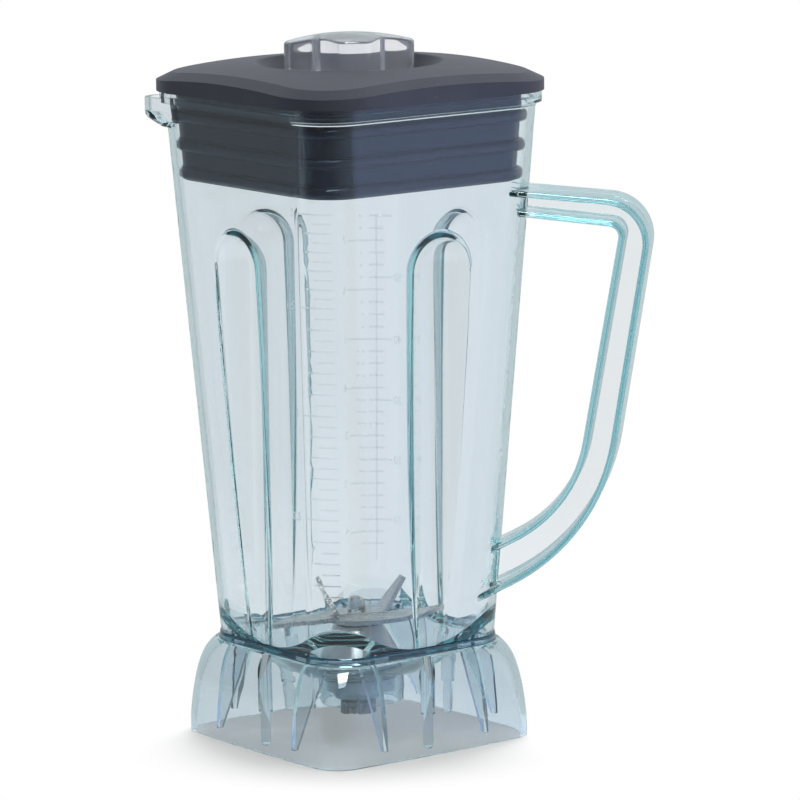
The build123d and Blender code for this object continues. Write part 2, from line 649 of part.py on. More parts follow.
# Bent blade: flat middle and two raked wings, each cut back to a point on one edge
with BuildPart() as upper_blade:
    wing_x = UPPER_BEND + UPPER_WING * cos(radians(UPPER_TILT))
    wing_z = UPPER_WING * sin(radians(UPPER_TILT))
    middle_z = UPPER_BLADE_Z + BLADE / 2
    with BuildSketch(turned(Plane.XZ, UPPER_TURN)):
        with BuildLine():
            FilletPolyline(
                (-wing_x, middle_z + wing_z),
                (-UPPER_BEND, middle_z),
                (UPPER_BEND, middle_z),
                (wing_x, middle_z + wing_z),
                radius=UPPER_BEND_RADIUS,
            )
        trace(line_width=BLADE)
    extrude(amount=UPPER_WIDTH / 2, both=True)
    for turn in (UPPER_TURN, UPPER_TURN + 180):
        wing = Plane(
            (UPPER_BEND, 0, middle_z),
            x_dir=(cos(radians(UPPER_TILT)), 0, sin(radians(UPPER_TILT))),
            z_dir=(-sin(radians(UPPER_TILT)), 0, cos(radians(UPPER_TILT))),
        )
        with BuildSketch(turned(wing, turn)):
            Polygon(
                (UPPER_BEND_RADIUS, UPPER_WIDTH / 2),
                (UPPER_WING + BLADE, UPPER_TIP - UPPER_WIDTH / 2),
                (UPPER_WING + BLADE, UPPER_WIDTH),
                (UPPER_BEND_RADIUS, UPPER_WIDTH),
                align=None,
            )
        extrude(amount=2 * BLADE, both=True, mode=Mode.SUBTRACT)
    extrude(blade_seat(FIT, UPPER_BLADE_Z), amount=BLADE, mode=Mode.SUBTRACT)

# Washer and slinger that share the spindle's flats or stud, and the hexagon nut on top
with BuildPart() as slinger_washer:
    with BuildSketch(Plane.XY.offset(SLINGER_Z)):
        Circle(SLINGER_RADIUS)
    extrude(amount=SLINGER)
    extrude(blade_seat(FIT, SLINGER_Z), amount=SLINGER, mode=Mode.SUBTRACT)

with BuildPart() as blade_nut:
    with BuildSketch(Plane.XY.offset(BLADE_NUT_Z)):
        RegularPolygon(BLADE_NUT_ACROSS / 2, 6, major_radius=False)
        Circle(STUD_RADIUS + FIT, mode=Mode.SUBTRACT)
    extrude(amount=BLADE_NUT)

# Splined driver on the spindle's lower end, with a neck that bears on the lower inner ring
with BuildPart() as drive_coupling:
    with BuildSketch(Plane.XY.offset(COUPLING_Z)):
        Circle(COUPLING_RADIUS)
        with PolarLocations(COUPLING_RADIUS, SPLINE_COUNT):
            Circle(SPLINE_RADIUS, mode=Mode.SUBTRACT)
    extrude(amount=COUPLING_HEIGHT)
    with BuildSketch(Plane.XY.offset(COUPLING_TOP_Z)):
        Circle(COUPLING_NECK)
    extrude(amount=LOWER_BEARING_Z - COUPLING_TOP_Z)
    with Locations((0, 0, COUPLING_TOP_Z)):
        Hole(SPIGOT_RADIUS + FIT)

pieces = {
    "jar_body": jar_body.part,
    "lid": lid.part,
    "filler_cap": filler_cap.part,
    "bearing_housing": bearing_housing.part,
    "housing_gasket": ring(SHANK_RADIUS + SHANK_GAP, HOUSING_BASE, SEAT_Z, GASKET),
    "retaining_washer": ring(
        SHANK_RADIUS + SHANK_GAP, RETAINING_WASHER_RADIUS, WASHER_Z, RETAINING_WASHER
    ),
    "retaining_nut": retaining_nut.part,
    "shaft_seal": shaft_seal.part,
    "circlip": circlip.part,
    "spindle": spindle.part,
    "bearing_spacer": ring(
        SHAFT_RADIUS,
        SHAFT_RADIUS + RING,
        LOWER_BEARING_TOP_Z,
        UPPER_BEARING_Z - LOWER_BEARING_TOP_Z,
    ),
    "slinger_washer": slinger_washer.part,
    "lower_blade": lower_blade.part,
    "upper_blade": upper_blade.part,
    "blade_washer": ring(STUD_RADIUS + FIT, BLADE_WASHER_RADIUS, BLADE_WASHER_Z, BLADE_WASHER),
    "blade_nut": blade_nut.part,
    "drive_coupling": drive_coupling.part,
}
for place, low_z in {"upper": UPPER_BEARING_Z, "lower": LOWER_BEARING_Z}.items():
    pieces[f"{place}_bearing_outer_ring"] = bearing_ring(BEARING_RADIUS - RING, BEARING_RADIUS, low_z)
    pieces[f"{place}_bearing_inner_ring"] = bearing_ring(SHAFT_RADIUS, SHAFT_RADIUS + RING, low_z)
    pieces[f"{place}_bearing_balls"] = bearing_balls(low_z)
    pieces[f"{place}_bearing_cage"] = bearing_cage(low_z)

os.makedirs("parts", exist_ok=True)
for name, piece in pieces.items():
    piece.label = name
    export_step(piece, f"parts/{name}.step")
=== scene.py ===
import logging
from dataclasses import dataclass
from enum import Enum
from typing import Union

import bpy
import numpy as np
from mathutils import Matrix


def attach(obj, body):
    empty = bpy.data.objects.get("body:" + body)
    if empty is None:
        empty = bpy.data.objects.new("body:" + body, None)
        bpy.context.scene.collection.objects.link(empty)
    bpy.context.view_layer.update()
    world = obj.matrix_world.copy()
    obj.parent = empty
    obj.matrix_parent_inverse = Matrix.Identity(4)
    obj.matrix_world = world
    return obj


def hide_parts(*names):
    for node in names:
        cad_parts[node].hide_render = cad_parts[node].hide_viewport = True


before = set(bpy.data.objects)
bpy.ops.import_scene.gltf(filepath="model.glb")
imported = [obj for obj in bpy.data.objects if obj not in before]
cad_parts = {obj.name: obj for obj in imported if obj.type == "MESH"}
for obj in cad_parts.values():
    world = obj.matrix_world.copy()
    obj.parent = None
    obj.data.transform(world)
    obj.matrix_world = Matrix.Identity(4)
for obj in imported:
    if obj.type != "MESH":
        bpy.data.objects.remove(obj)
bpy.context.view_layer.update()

MM = 0.001
EIGHTH_TURN = np.pi / 4.0
QUARTER_TURN = np.pi / 2.0
LOG = logging.getLogger("blender_jar")

Triple = tuple[float, float, float]
Colour = Triple
Span = tuple[float, float]
Pairs = tuple[Span, ...]
Feed = Union["Socket", float, tuple]

BLACK: Colour = (0.0, 0.0, 0.0)
WHITE: Colour = (1.0, 1.0, 1.0)
EVEN: Triple = (1.0, 1.0, 1.0)
UPWARD: Triple = (0.0, 0.0, 1.0)


class Socket:
    """One output of a shader node; arithmetic on it adds Math nodes."""

    def __init__(self, graph: "Graph", end: bpy.types.NodeSocket) -> None:
        """Keeps the graph and the output that the socket stands for."""
        self.graph = graph
        self.end = end

    def math(self, operation: str, first: Feed, second: Feed) -> "Socket":
        """Adds one Math node with that operation on two values."""
        return self.graph.add("ShaderNodeMath", {"operation": operation}, {0: first, 1: second})

    def __add__(self, other: Feed) -> "Socket":
        """Sum."""
        return self.math("ADD", self, other)

    def __radd__(self, other: Feed) -> "Socket":
        """Sum with a number on the left."""
        return self.math("ADD", other, self)

    def __sub__(self, other: Feed) -> "Socket":
        """Difference."""
        return self.math("SUBTRACT", self, other)

    def __rsub__(self, other: Feed) -> "Socket":
        """Difference with a number on the left."""
        return self.math("SUBTRACT", other, self)

    def __mul__(self, other: Feed) -> "Socket":
        """Product."""
        return self.math("MULTIPLY", self, other)

    def __rmul__(self, other: Feed) -> "Socket":
        """Product with a number on the left."""
        return self.math("MULTIPLY", other, self)

    def __truediv__(self, other: Feed) -> "Socket":
        """Quotient."""
        return self.math("DIVIDE", self, other)

    def __rtruediv__(self, other: Feed) -> "Socket":
        """Quotient with a number on the left."""
        return self.math("DIVIDE", other, self)

    def __pow__(self, other: Feed) -> "Socket":
        """Power."""
        return self.math("POWER", self, other)

    def __rpow__(self, other: Feed) -> "Socket":
        """Power of a number on the left."""
        return self.math("POWER", other, self)

    def most(self, other: Feed) -> "Socket":
        """The larger of the two."""
        return self.math("MAXIMUM", self, other)

    def least(self, other: Feed) -> "Socket":
        """The smaller of the two."""
        return self.math("MINIMUM", self, other)

    def step(self, low: float, high: float) -> "Socket":
        """Smooth step of the value.

        Args:
            low: where it is 0.
            high: where it is 1; below low for a step that falls.

        Returns:
            A value between 0 and 1.
        """
        ends = {"From Min": low, "From Max": high, "To Min": 0.0, "To Max": 1.0}
        smooth = {"interpolation_type": "SMOOTHSTEP"}
        return self.graph.add("ShaderNodeMapRange", smooth, {"Value": self, **ends})


class Graph:
    """Node tree of one material, or of the world."""

    def __init__(self, tree: bpy.types.NodeTree) -> None:
        """Starts with an empty tree."""
        self.tree = tree
        self.tree.nodes.clear()

    def node(
        self,
        kind: str,
        settings: dict[str, object] | None = None,
        inputs: dict[str | int, Feed] | None = None,
    ) -> bpy.types.Node:
        """Adds a node.

        Args:
            kind: the node's type.
            settings: its properties, which are set first.
            inputs: values or links of its sockets; a colour gets its alpha.

        Returns:
            The node.
        """
        made = self.tree.nodes.new(kind)
        for name, value in (settings or {}).items():
            setattr(made, name, value)
        for key, value in (inputs or {}).items():
            entry = made.inputs[key]
            if isinstance(value, Socket):
                self.tree.links.new(value.end, entry)
            else:
                entry.default_value = (*value, 1.0) if entry.type == "RGBA" else value
        return made

    def add(
        self,
        kind: str,
        settings: dict[str, object] | None = None,
        inputs: dict[str | int, Feed] | None = None,
        output: str | int = 0,
    ) -> Socket:
        """Adds a node as above and gives that output of it."""
        return Socket(self, self.node(kind, settings, inputs).outputs[output])

    def place(self, scale: Triple = EVEN, turn: float = 0.0) -> Socket:
        """Object coordinates.

        Args:
            scale: stretch along each axis.
            turn: angle about Z in degrees, taken before the stretch.

        Returns:
            The coordinates as a vector.
        """
        where = self.add("ShaderNodeTexCoord", output="Object")
        if turn:
            spin = (0.0, 0.0, np.radians(turn))
            where = self.add("ShaderNodeMapping", None, {"Vector": where, "Rotation": spin})
        if scale == EVEN:
            return where
        return self.add("ShaderNodeVectorMath", {"operation": "MULTIPLY"}, {0: where, 1: scale})

    def axis(self, vector: Socket, name: str) -> Socket:
        """One component of a vector."""
        return self.add("ShaderNodeSeparateXYZ", None, {0: vector}, name)

    def reach(self, where: Socket) -> Socket:
        """Distance of a place from the blade axis."""
        return (self.axis(where, "X") ** 2.0 + self.axis(where, "Y") ** 2.0) ** 0.5

    def around(self, scale: float) -> Socket:
        """Coordinates for a turned pattern.

        Args:
            scale: stretch of both.

        Returns:
            The vector (distance from the blade axis, 0, height), stretched.
        """
        where = self.place()
        parts = {"X": self.reach(where) * scale, "Z": self.axis(where, "Z") * scale}
        return self.add("ShaderNodeCombineXYZ", None, parts)

    def noise(self, where: Socket, scale: float, detail: float) -> Socket:
        """Noise between 0 and 1 at that scale per metre."""
        inputs = {"Vector": where, "Scale": scale, "Detail": detail}
        return self.add("ShaderNodeTexNoise", None, inputs)

    def blend(self, first: Feed, second: Feed, share: Feed) -> Socket:
        """Mixes two colours by the share of the second."""
        inputs = {0: share, 6: first, 7: second}
        return self.add("ShaderNodeMix", {"data_type": "RGBA"}, inputs, 2)

    def bump(self, height: Feed, strength: float, distance: float) -> Socket:
        """Bends the normal by a height."""
        inputs = {"Height": height, "Strength": strength, "Distance": distance}
        return self.add("ShaderNodeBump", None, inputs)

    def surface(self, inputs: dict[str | int, Feed], volume: Socket | None = None) -> None:
        """Ends the tree in a Principled shader.

        Args:
            inputs: values or links of the shader's sockets.
            volume: what fills the inside, where there is such a thing.
        """
        ends = {"Surface": self.add("ShaderNodeBsdfPrincipled", None, inputs)}
        if volume is not None:
            ends["Volume"] = volume
        self.node("ShaderNodeOutputMaterial", None, ends)


@dataclass(frozen=True)
class Patches:
    """Soft patches, where a noise on Object coordinates rises past a threshold."""

    scale: float
    detail: float
    rise: Span
    share: float = 1.0
    stretch: Triple = EVEN

    def cloud(self, graph: Graph) -> Socket:
        """The noise itself."""
        return graph.noise(graph.place(self.stretch), self.scale, self.detail)

    def mask(self, graph: Graph) -> Socket:
        """0 between the patches and the share within them."""
        return self.cloud(graph).step(*self.rise) * self.share


@dataclass(frozen=True)
class Finish:
    """Surface finish that can be made into a material."""

    name: str

    def paint(self, graph: Graph) -> None:
        """Adds the finish's nodes; each finish has its own."""
        raise NotImplementedError

    def make(self) -> bpy.types.Material:
        """Makes the material, once for each name.

        Returns:
            The material.
        """
        ready = bpy.data.materials.get(self.name)
        if ready is not None:
            return ready
        material = bpy.data.materials.new(self.name)
        material.use_nodes = True
        self.paint(Graph(material.node_tree))
        return material


@dataclass(frozen=True)
class ClearPlastic(Finish):
    """Clear moulded plastic, tinted by its thickness and deeper at a glancing angle."""

    face: Colour = (0.92, 0.935, 0.952)
    flow: Colour = (0.89, 0.918, 0.938)
    edge: Colour = (0.4, 0.62, 0.67)
    edge_power: float = 5.0
    through: Colour = (0.1, 0.66, 0.71)
    density: float = 18.0
    index: float = 1.52
    roughness: float = 0.012
    clear: float = 0.991
    flow_lines: Patches = Patches(90.0, 2.0, (0.45, 0.75), 0.5, (1.0, 1.0, 0.12))
    haze: Patches = Patches(55.0, 4.0, (0.5, 0.8), 0.02)

    def body(self, graph: Graph) -> Socket:
        """Tint of a wall seen square on, with faint flow lines up the moulding."""
        return graph.blend(self.face, self.flow, self.flow_lines.mask(graph))

    def paint(self, graph: Graph) -> None:
        """Transmitting shader with handling haze in its gloss and absorption inside.

        Args:
            graph: the material's nodes.
        """
        facing = graph.add("ShaderNodeLayerWeight", output="Facing")
        tint = {"Color": self.through, "Density": self.density}
        graph.surface(
            {
                "Base Color": graph.blend(self.body(graph), self.edge, facing**self.edge_power),
                "Roughness": self.roughness + self.haze.mask(graph),
                "IOR": self.index,
                "Transmission Weight": self.clear,
            },
            graph.add("ShaderNodeVolumeAbsorption", None, tint),
        )


@dataclass(frozen=True)
class JarPlastic(ClearPlastic):
    """The jar's plastic, with painted shade in the skirt and in the handle's wide flanges."""

    # Painted shade: the skirt and the handle's flanges get darker tints than the wall.
    skirt: Colour = (0.8, 0.843, 0.872)
    flange_painted_shade: Colour = (0.54, 0.74, 0.785)
    shoulder_z: Span = (0.0445, 0.0425)
    wall_lean: float = 0.0868
    flange_x: Span = (0.0586, 0.0636)
    web_y: Span = (0.0018, 0.003)

    def body(self, graph: Graph) -> Socket:
        """Tint of the wall, with painted shade on the skirt below its shoulder and on the handle's
        flanges.

        Args:
            graph: the material's nodes.

        Returns:
            The tint; the flanges begin beyond the leaning wall and to both sides of the web.
        """
        where = graph.place()
        x, y, z = (graph.axis(where, name) for name in "XYZ")
        low = z.step(*self.shoulder_z)
        out = (x - self.wall_lean * z).step(*self.flange_x) * (1.0 - low)
        wide = ((y * y) ** 0.5).step(*self.web_y)
        # Painted shade on the skirt below its shoulder.
        wall = graph.blend(super().body(graph), self.skirt, low)
        # Painted shade on the handle's flanges.
        return graph.blend(wall, self.flange_painted_shade, out * wide)


@dataclass(frozen=True)
class MouldedMark(Finish):
    """Frosted raised plastic of the measuring marks."""

    colour: Colour = (0.93, 0.95, 0.96)
    worn: Colour = (0.97, 0.98, 0.985)
    wear: Patches = Patches(70.0, 3.0, (0.45, 0.75))
    frost: float = 2600.0
    frost_haze: float = 0.1
    frost_depth: float = 0.00005
    relief: float = 0.2
    roughness: float = 0.12
    index: float = 1.12
    clear: float = 0.97

    def paint(self, graph: Graph) -> None:
        """Frosted see-through plastic with a fine grain.

        Args:
            graph: the material's nodes.
        """
        grain = graph.noise(graph.place(), self.frost, detail=2.0)
        graph.surface(
            {
                "Base Color": graph.blend(self.colour, self.worn, self.wear.mask(graph)),
                "Roughness": self.roughness + self.frost_haze * grain,
                "IOR": self.index,
                "Transmission Weight": self.clear,
                "Normal": graph.bump(grain, self.relief, self.frost_depth),
            }
        )


@dataclass(frozen=True)
class MouldedRubber(Finish):
    """Matt moulded rubber with a pebbled grain and a trace of dust."""

    colour: Colour = (0.042, 0.037, 0.05)
    worn: Colour = (0.08, 0.074, 0.09)
    wear: Patches = Patches(28.0, 4.0, (0.42, 0.72), 0.35)
    wear_haze: float = 0.12
    dust: Colour = (0.3, 0.29, 0.3)
    specks: Patches = Patches(700.0, 1.0, (0.76, 0.8))
    speck_share: float = 0.4
    speck_haze: float = 0.1
    roughness: float = 0.42
    gloss: float = 0.5
    gleam: Colour = WHITE
    grain: float = 1900.0
    grain_depth: float = 0.00006
    grain_relief: float = 0.25

    def polish(self, graph: Graph) -> Socket | float:
        """How much smoother than the rest the surface is at a place."""
        return 0.0

    def pebbles(self, graph: Graph) -> Socket:
        """Height of the pebbled grain."""
        inputs = {"Vector": graph.place(), "Scale": self.grain}
        return graph.add("ShaderNodeTexVoronoi", None, inputs)

    def body(self, graph: Graph) -> Socket:
        """Colour under the dust, a little worn in patches."""
        return graph.blend(self.colour, self.worn, self.wear.mask(graph))

    def paint(self, graph: Graph) -> None:
        """Wear and dust specks in colour and gloss, a cell pattern for the grain.

        Args:
            graph: the material's nodes.
        """
        specks = self.specks.mask(graph)
        haze = self.wear_haze * self.wear.cloud(graph) + self.speck_haze * specks
        pebbles = self.pebbles(graph)
        graph.surface(
            {
                "Base Color": graph.blend(self.body(graph), self.dust, specks * self.speck_share),
                "Roughness": self.roughness + haze - self.polish(graph),
                "Specular IOR Level": self.gloss,
                "Specular Tint": self.gleam,
                "Normal": graph.bump(pebbles, self.grain_relief, self.grain_depth),
            }
        )


@dataclass(frozen=True)
class LidRubber(MouldedRubber):
    """The lid's rubber, whose plug below the rim is smoother and has a deep blue-black of painted
    shade.
    """

    # Painted shade: the plug behind the jar's wall is painted darker and bluer than the top.
    plug: Colour = (0.026, 0.029, 0.05)
    plug_z: Span = (0.2875, 0.2865)
    plug_polish: float = 0.14
    plug_fade: float = 0.92

    def below(self, graph: Graph) -> Socket:
        """1 on the plug and 0 above the jar's rim."""
        return graph.axis(graph.place(), "Z").step(*self.plug_z)

    def polish(self, graph: Graph) -> Socket | float:
        """The plug is smoother than the top."""
        return self.plug_polish * self.below(graph)

    def pebbles(self, graph: Graph) -> Socket:
        """The grain fades out on the plug."""
        return super().pebbles(graph) * (1.0 - self.plug_fade * self.below(graph))

    def body(self, graph: Graph) -> Socket:
        """Charcoal above the jar's rim and a blue-black painted shade below it."""
        # The plug below the rim gets the blue-black painted shade.
        return graph.blend(super().body(graph), self.plug, self.below(graph))


class Grain(Enum):
    """Direction of the marks that a tool leaves in metal."""

    TURNED = "turned"
    GROUND = "ground"
    POLISHED = "polished"


@dataclass(frozen=True)
class Metal(Finish):
    """Worked metal whose tool marks follow the way it was made."""

    colour: Colour = (0.62, 0.61, 0.6)
    stain: Colour = (0.42, 0.41, 0.4)
    stains: Patches = Patches(160.0, 4.0, (0.4, 0.75), 0.5)
    stain_haze: float = 0.08
    roughness: float = 0.25
    grain: Grain = Grain.TURNED
    turn: float = 0.0
    turned_lines: float = 5200.0
    ground_lines: Triple = (60.0, 3800.0, 3800.0)
    polished_marks: float = 1500.0
    mark_haze: float = 0.2
    mark_depth: float = 0.00004
    mark_relief: float = 0.25

    def marks(self, graph: Graph) -> Socket:
        """Fine lines of the tool.

        Args:
            graph: the material's nodes.

        Returns:
            Height of the lines, between 0 and 1.
        """
        if self.grain is Grain.TURNED:
            return graph.noise(graph.around(self.turned_lines), scale=1.0, detail=3.0)
        if self.grain is Grain.GROUND:
            lines = graph.place(self.ground_lines, self.turn)
            return graph.noise(lines, scale=1.0, detail=3.0)
        return graph.noise(graph.place(), self.polished_marks, detail=2.0)

    def paint(self, graph: Graph) -> None:
        """Metal with tool marks in its gloss and a stain in its colour.

        Args:
            graph: the material's nodes.
        """
        lines = self.marks(graph)
        haze = self.mark_haze * (lines - 0.5) + self.stain_haze * self.stains.cloud(graph)
        graph.surface(
            {
                "Base Color": graph.blend(self.colour, self.stain, self.stains.mask(graph)),
                "Metallic": 1.0,
                "Roughness": self.roughness + haze,
                "Normal": graph.bump(lines, self.mark_relief, self.mark_depth),
            }
        )


PLATED_STEEL = Metal(
    "nut_plated_steel", colour=(0.7, 0.7, 0.7), roughness=0.16, grain=Grain.POLISHED
)


@dataclass
class RaySort:
    """Kinds of ray that meet the floor or the world.

    By them clear pieces show the white background straight through, and shiny ones mirror a room
    with a dark side, lit by direction: x heads to the right and y to the back.
    """

    graph: Graph
    through: float = 0.96
    piped: float = 1.0
    mirrored: Colour = (0.78, 0.88, 1.0)
    panel: Colour = (0.56, 0.68, 1.0)
    behind: Colour = (0.88, 0.96, 0.98)
    behind_y: Span = (-0.1, 0.4)
    dark: float = 0.07
    panel_x: Span = (0.84, 0.93)
    wall: float = 0.65
    wall_y: Span = (-0.1, 0.7)
    right: float = 0.25
    right_x: Span = (0.05, 0.75)
    left: float = 0.22
    left_x: Span = (-0.7, -0.9)
    strip_x: Span = (-0.5, -0.7)
    strip_front_y: Span = (-0.44, -0.39)
    strip_back_y: Span = (-0.27, -0.32)

    def __post_init__(self) -> None:
        """Reads the ray's kind."""
        self.camera = self.path("Is Camera Ray")
        passed = self.path("Is Transmission Ray")
        gloss = self.path("Is Glossy Ray")
        direct = 1.0 - self.path("Diffuse Depth").least(1.0)
        turns = self.path("Glossy Depth")
        self.straight = passed * direct * (1.0 - turns.least(1.0))
        self.trapped = passed * direct * (turns - 1.0).least(1.0).most(0.0)
        self.seen = self.camera.most(passed.most(gloss) * direct)

    def path(self, name: str) -> Socket:
        """One output of Light Path."""
        return self.graph.add("ShaderNodeLightPath", output=name)

    def room(self, x: Socket, y: Socket) -> Socket:
        """Brightness of the room by direction.

        Args:
            x: how far it heads to the right.
            y: how far it heads to the back.

        Returns:
            Dark in front and on the left, with a large panel on the right, a narrow strip at the
            left and a pale wall behind.
        """
        strip = x.step(*self.strip_x) * y.step(*self.strip_front_y) * y.step(*self.strip_back_y)
        sides = (self.right * x.step(*self.right_x)).most(self.left * x.step(*self.left_x))
        lit = x.step(*self.panel_x).most(self.wall * y.step(*self.wall_y)).most(sides).most(strip)
        return self.dark + (1.0 - self.dark) * lit

    def level(self, clear: Feed, room: Socket) -> Socket:
        """Brightness that the ray sees.

        Args:
            clear: share of the background's white for a ray that goes straight through.
            room: brightness for a mirrored ray.

        Returns:
            The brightness.
        """
        turned = (1.0 - self.straight) * room.most(self.trapped * self.piped)
        bent = self.straight * self.through * clear + turned
        return self.camera + (1.0 - self.camera) * bent

    def colour(self, level: Socket, x: Socket, y: Socket) -> Socket:
        """Colour that the ray sees.

        Args:
            level: brightness.
            x: how far it heads to the right.
            y: how far it heads to the back.

        Returns:
            White at that brightness, or for a mirrored ray the room's tint, cooler in front.
        """
        blend = self.graph.blend
        tint = blend(self.mirrored, self.panel, x.step(*self.panel_x))
        tint = blend(tint, self.behind, y.step(*self.behind_y).most(self.trapped))
        mirror = self.seen * (1.0 - self.camera.most(self.straight))
        return blend(BLACK, blend(WHITE, tint, mirror), level)


@dataclass(frozen=True)
class StudioFloor(Finish):
    """White floor that glows for the rays that are seen and takes the object's shadow."""

    glow: float = 0.38
    glow_reach: Span = (0.055, 0.115)
    pale: Colour = (0.86, 0.86, 0.86)
    white: Colour = (0.9, 0.9, 0.9)
    grain: float = 220.0
    nearby: float = 0.7
    nearby_reach: Span = (0.7, 0.3)

    def paint(self, graph: Graph) -> None:
        """Diffuse white mixed with a glow that takes over away from the object.

        Args:
            graph: the material's nodes.
        """
        where = graph.place()
        reach = graph.reach(where)
        share = self.glow + (1.0 - self.glow) * reach.step(*self.glow_reach)
        grain = graph.noise(where, self.grain, detail=3.0)
        white = graph.blend(self.pale, self.white, grain)
        matt = graph.add("ShaderNodeBsdfDiffuse", None, {"Color": white})
        x, y = (graph.axis(where, name) / reach for name in "XY")
        rays = RaySort(graph)
        room = rays.room(x, y).most(self.nearby * reach.step(*self.nearby_reach))
        seen = rays.colour(rays.level(1.0, room), x, y)
        shine = graph.add("ShaderNodeEmission", None, {"Color": seen})
        mixed = graph.add("ShaderNodeMixShader", None, {0: share * rays.seen, 1: matt, 2: shine})
        graph.node("ShaderNodeOutputMaterial", None, {"Surface": mixed})


def unit(vectors: np.ndarray) -> np.ndarray:
    """Vectors brought to length 1 along the last axis."""
    return vectors / np.linalg.norm(vectors, axis=-1, keepdims=True)


def tube(
    rows: int, columns: int, loop: bool = False, flip: bool = False, copies: int = 1
) -> list[list[int]]:
    """Faces of a closed profile carried along a path, over a grid of points in order of rows.

    Args:
        rows: points along the path.
        columns: points of the profile.
        loop: True where the path closes on itself; else each end gets a flat face.
        flip: True to turn the faces round.
        copies: number of such grids, one after the other.

    Returns:
        Lists of point numbers: the sides, and then the ends.
    """
    way = -1 if flip else 1
    first = rows * columns * np.arange(copies)[:, None, None]
    row = first + columns * np.arange(rows)[None, :, None]
    beyond = np.roll(row, -1, axis=1)
    column = np.arange(columns)
    after = np.roll(column, -1)
    sides = np.stack([row + column, row + after, beyond + after, beyond + column], axis=-1)
    if loop:
        return sides[..., ::way].reshape(-1, 4).tolist()
    ends = np.stack([row[:, 0] + column[::-1], row[:, -1] + column], axis=1)
    faces = sides[:, :-1, :, ::way].reshape(-1, 4).tolist()
    return faces + ends[..., ::way].reshape(-1, columns).tolist()


def put(name: str, data: bpy.types.ID) -> bpy.types.Object:
    """Links a new object to the scene.

    Args:
        name: its name.
        data: its mesh, text, lamp or camera.

    Returns:
        The object, at the origin.
    """
    made = bpy.data.objects.new(name, data)
    bpy.context.scene.collection.objects.link(made)
    return made


def stand(thing: bpy.types.Object, place: Triple, right: np.ndarray, back: np.ndarray) -> None:
    """Sets a lamp or the camera at a place.

    Args:
        thing: the lamp or camera.
        place: where it stands.
        right: unit vector to its right.
        back: unit vector away from what it faces, square to the other.
    """
    turn = np.eye(4)
    turn[:3, :3] = np.stack([right, np.cross(back, right), back], axis=1)
    turn[:3, 3] = place
    thing.matrix_world = Matrix(turn.tolist())


def make_mesh(name: str, points: np.ndarray, faces: list, smooth: bool) -> bpy.types.Object:
    """Puts worked-out points and faces into a new object at the origin.

    Args:
        name: name of the piece.
        points: array of X, Y and Z in metres.
        faces: lists of point numbers, outward by the right-hand rule.
        smooth: True for smooth shading.

    Returns:
        The object, linked to the scene.
    """
    mesh = bpy.data.meshes.new(name)
    mesh.from_pydata(points.reshape(-1, 3).tolist(), [], faces)
    mesh.polygons.foreach_set("use_smooth", np.full(len(mesh.polygons), smooth))
    mesh.update()
    return put(name, mesh)


@dataclass
class SubAssembly:
    """Pieces of the object that belong together and ride on one body."""

    body: str = "jar"

    def coat(self, mesh: bpy.types.Mesh, finish: Finish) -> None:
        """Gives a mesh one material in place of what it has."""
        mesh.materials.clear()
        mesh.materials.append(finish.make())

    def dress(self, finish: Finish, *nodes: str) -> None:
        """Gives CAD nodes a finish.

        Args:
            finish: the finish.
            nodes: names of the nodes.
        """
        for name in nodes:
            self.coat(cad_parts[name].data, finish)
            LOG.info("%s dressed in %s", name, finish.name)

    def keep(self, piece: bpy.types.Object, finish: Finish, slot: str) -> None:
        """Finishes a new piece: material and body.

        Args:
            piece: the new piece.
            finish: its finish.
            slot: the record's material slot; not used.
        """
        self.coat(piece.data, finish)
        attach(piece, self.body)
        LOG.info("%s made in %s", piece.name, finish.name)

    def build(self) -> None:
        """Builds and dresses the pieces; each sub-assembly has its own."""
        raise NotImplementedError


@dataclass
class Jar(SubAssembly):
    """The clear moulded jar with its handle, spout and finned skirt."""

    plastic: Finish = JarPlastic("jar_clear_plastic")

    def build(self) -> None:
        """Dresses the jar."""
        self.dress(self.plastic, "jar_body")


@dataclass(frozen=True)
class WallCorner:
    """Rounded corner of the jar's tapered square wall, and the flats beside it.

    A point is given by its distance s along the wall from the corner's middle line and its height
    z. Within the corner it lies on an arc about a centre that moves out with the height; past the
    arc's ends the wall goes on straight along the tangent. Lengths are in millimetres.
    """

    side: float = -1.0
    foot_half: float = 49.4
    mouth_half: float = 64.5
    foot_z: float = 44.0
    mouth_z: float = 290.0
    radius: float = 20.5

    def half(self, z: np.ndarray) -> np.ndarray:
        """Half the wall's outer width at height z: it grows evenly from foot to mouth."""
        share = (z - self.foot_z) / (self.mouth_z - self.foot_z)
        return self.foot_half + (self.mouth_half - self.foot_half) * share

    def centre(self, z: np.ndarray) -> np.ndarray:
        """Distance of the arc's centre from the blade axis at height z."""
        return (self.half(z) - self.radius) * np.sqrt(2.0)

    def point(self, s: np.ndarray, z: np.ndarray, lift: np.ndarray) -> np.ndarray:
        """Points on or just off the outer wall.

        Args:
            s: distances along the wall, to the right as seen from outside.
            z: heights.
            lift: distances outward from the wall.

        Returns:
            Array of X, Y and Z in metres.
        """
        turn = np.clip(s / self.radius, -EIGHTH_TURN, EIGHTH_TURN)
        past = s - turn * self.radius
        out = self.centre(z) + (self.radius + lift) * np.cos(turn) - past * np.sin(turn)
        along = (self.radius + lift) * np.sin(turn) + past * np.cos(turn)
        where = np.broadcast_arrays(-self.side * along, self.side * out, z)
        return np.stack(where, axis=-1) * MM


